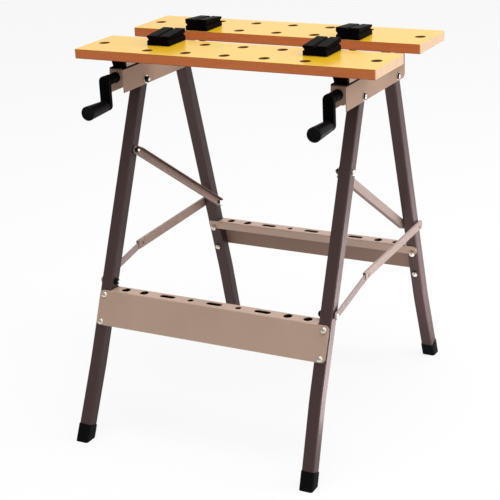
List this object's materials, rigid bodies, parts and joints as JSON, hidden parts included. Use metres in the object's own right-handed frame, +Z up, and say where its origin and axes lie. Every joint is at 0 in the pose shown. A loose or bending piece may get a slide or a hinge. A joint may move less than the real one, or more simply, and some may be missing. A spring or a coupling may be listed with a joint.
{
  "type": "folding workbench",
  "caption": "Folding trestle workbench whose two yellow boards clamp work between them by hand cranks, with peg holes, swivel pegs and tool trays across its splayed legs.",
  "frame": {"origin": "on the floor, under the middle of the box around the standing bench", "axes": "+X along the boards to the right-hand crank as seen by a user at the cranks, +Y from the crank side to the back, +Z up"},
  "size_m": [0.605, 0.6468, 0.7418],
  "materials": {
    "board": "sealed, satin, with fine straight grain",
    "plastic": "moulded, lightly grained",
    "rubber": "matt",
    "tube": "satin powder coat",
    "sheet": "satin metallic coat",
    "zinc": "bright zinc plated"
  },
  "bodies": {
    "top_frame": {"rear_board": "board", "rail_left": "sheet", "rail_right": "sheet", "rear_bracket_left": "sheet", "rear_bracket_right": "sheet", "rail_bolt_front_left": "zinc", "rail_bolt_front_right": "zinc", "rail_bolt_rear_left": "zinc", "rail_bolt_rear_right": "zinc"},
    "front_legs": {"front_tray": "sheet", "front_leg_left": "tube", "front_leg_right": "tube", "front_foot_left": "rubber", "front_foot_right": "rubber", "tray_bolt_front_upper_left": "zinc", "tray_bolt_front_upper_right": "zinc", "tray_bolt_front_lower_left": "zinc", "tray_bolt_front_lower_right": "zinc", "bar_bolt_front_left": "zinc", "bar_bolt_front_right": "zinc"},
    "rear_legs": {"rear_tray": "sheet", "rear_leg_left": "tube", "rear_leg_right": "tube", "rear_foot_left": "rubber", "rear_foot_right": "rubber", "tray_bolt_rear_upper_left": "zinc", "tray_bolt_rear_upper_right": "zinc", "tray_bolt_rear_lower_left": "zinc", "tray_bolt_rear_lower_right": "zinc", "brace_bolt_rear_left": "zinc", "brace_bolt_rear_right": "zinc"},
    "front_jaw": {"front_board": "board", "jaw_carrier_left": "sheet", "jaw_carrier_right": "sheet", "jaw_slider_left": "plastic", "jaw_slider_right": "plastic", "screw_nut_left": "zinc", "screw_nut_right": "zinc"},
    "upper_bar_left": {"upper_bar_left": "sheet", "bar_rivet_rear_left": "zinc"},
    "brace_channel_left": {"brace_channel_left": "sheet", "elbow_rivet_left": "zinc"},
    "brace_strip_left": {"brace_strip_left": "zinc", "brace_bolt_front_left": "zinc"},
    "crank_left": {"crank_left": "plastic", "lead_screw_left": "zinc"},
    "crank_grip_left": {"crank_grip_left": "plastic"},
    "peg_front_left": {"peg_front_left": "plastic"},
    "peg_rear_left": {"peg_rear_left": "plastic"},
    "upper_bar_right": {"upper_bar_right": "sheet", "bar_rivet_rear_right": "zinc"},
    "brace_channel_right": {"brace_channel_right": "sheet", "elbow_rivet_right": "zinc"},
    "brace_strip_right": {"brace_strip_right": "zinc", "brace_bolt_front_right": "zinc"},
    "crank_right": {"crank_right": "plastic", "lead_screw_right": "zinc"},
    "crank_grip_right": {"crank_grip_right": "plastic"},
    "peg_front_right": {"peg_front_right": "plastic"},
    "peg_rear_right": {"peg_rear_right": "plastic"}
  },
  "joints": [
    {"name": "front_leg_fold", "type": "hinge", "parent": "top_frame", "child": "front_legs", "pos_m": [0, -0.04124, 0.646], "axis": [1, 0, 0], "range_deg": [0, 100]},
    {"name": "rear_leg_fold", "type": "hinge", "parent": "top_frame", "child": "rear_legs", "pos_m": [0, 0.12046, 0.646], "axis": [1, 0, 0], "range_deg": [0, 71]},
    {"name": "upper_bar_left_swing", "type": "hinge", "parent": "front_legs", "child": "upper_bar_left", "pos_m": [-0.2136, -0.09347, 0.51989], "axis": [1, 0, 0], "range_deg": [-66, 0]},
    {"name": "brace_channel_left_swing", "type": "hinge", "parent": "rear_legs", "child": "brace_channel_left", "pos_m": [-0.2442, 0.21645, 0.31775], "axis": [1, 0, 0], "range_deg": [-67, 0]},
    {"name": "brace_strip_left_swing", "type": "hinge", "parent": "brace_channel_left", "child": "brace_strip_left", "pos_m": [-0.2442, -0.04695, 0.31147], "axis": [1, 0, 0], "range_deg": [0, 150]},
    {"name": "upper_bar_right_swing", "type": "hinge", "parent": "front_legs", "child": "upper_bar_right", "pos_m": [0.2136, -0.09347, 0.51989], "axis": [1, 0, 0], "range_deg": [-66, 0]},
    {"name": "brace_channel_right_swing", "type": "hinge", "parent": "rear_legs", "child": "brace_channel_right", "pos_m": [0.2442, 0.21645, 0.31775], "axis": [1, 0, 0], "range_deg": [-67, 0]},
    {"name": "brace_strip_right_swing", "type": "hinge", "parent": "brace_channel_right", "child": "brace_strip_right", "pos_m": [0.2442, -0.04695, 0.31147], "axis": [1, 0, 0], "range_deg": [0, 150]},
    {"name": "front_jaw_slide", "type": "slide", "parent": "top_frame", "child": "front_jaw", "axis": [0, 1, 0], "range_m": [-0.01, 0.078]},
    {"name": "crank_left_turn", "type": "hinge", "parent": "top_frame", "child": "crank_left", "pos_m": [-0.2255, -0.12, 0.667], "axis": [0, 1, 0], "range_deg": [-721, 5617]},
    {"name": "crank_right_turn", "type": "hinge", "parent": "top_frame", "child": "crank_right", "pos_m": [0.2255, -0.12, 0.667], "axis": [0, 1, 0], "range_deg": [-721, 5617]},
    {"name": "crank_grip_left_spin", "type": "hinge", "parent": "crank_left", "child": "crank_grip_left", "pos_m": [-0.2255, -0.191, 0.622], "axis": [0, 1, 0], "continuous": true},
    {"name": "crank_grip_right_spin", "type": "hinge", "parent": "crank_right", "child": "crank_grip_right", "pos_m": [0.2255, -0.191, 0.622], "axis": [0, 1, 0], "continuous": true},
    {"name": "peg_front_left_turn", "type": "hinge", "parent": "front_jaw", "child": "peg_front_left", "pos_m": [-0.16, -0.03744, 0.71], "axis": [0, 0, 1], "range_deg": [-90, 90]},
    {"name": "peg_front_right_turn", "type": "hinge", "parent": "front_jaw", "child": "peg_front_right", "pos_m": [0.16, -0.03744, 0.71], "axis": [0, 0, 1], "range_deg": [-90, 90]},
    {"name": "peg_rear_left_turn", "type": "hinge", "parent": "top_frame", "child": "peg_rear_left", "pos_m": [-0.16, 0.09896, 0.71], "axis": [0, 0, 1], "range_deg": [-90, 90]},
    {"name": "peg_rear_right_turn", "type": "hinge", "parent": "top_frame", "child": "peg_rear_right", "pos_m": [0.16, 0.09896, 0.71], "axis": [0, 0, 1], "range_deg": [-90, 90]}
  ],
  "couplings": [
    {"joint": "rear_leg_fold", "follows": "front_leg_fold", "ratio": 0.70441},
    {"joint": "upper_bar_left_swing", "follows": "front_leg_fold", "ratio": -0.65322},
    {"joint": "brace_channel_left_swing", "follows": "front_leg_fold", "ratio": -0.66289},
    {"joint": "brace_strip_left_swing", "follows": "front_leg_fold", "ratio": 1.4954},
    {"joint": "upper_bar_right_swing", "follows": "front_leg_fold", "ratio": -0.65322},
    {"joint": "brace_channel_right_swing", "follows": "front_leg_fold", "ratio": -0.66289},
    {"joint": "brace_strip_right_swing", "follows": "front_leg_fold", "ratio": 1.4954},
    {"joint": "crank_left_turn", "follows": "front_jaw_slide", "rad_per_m": 1256.6},
    {"joint": "crank_right_turn", "follows": "front_jaw_slide", "rad_per_m": 1256.6}
  ]
}
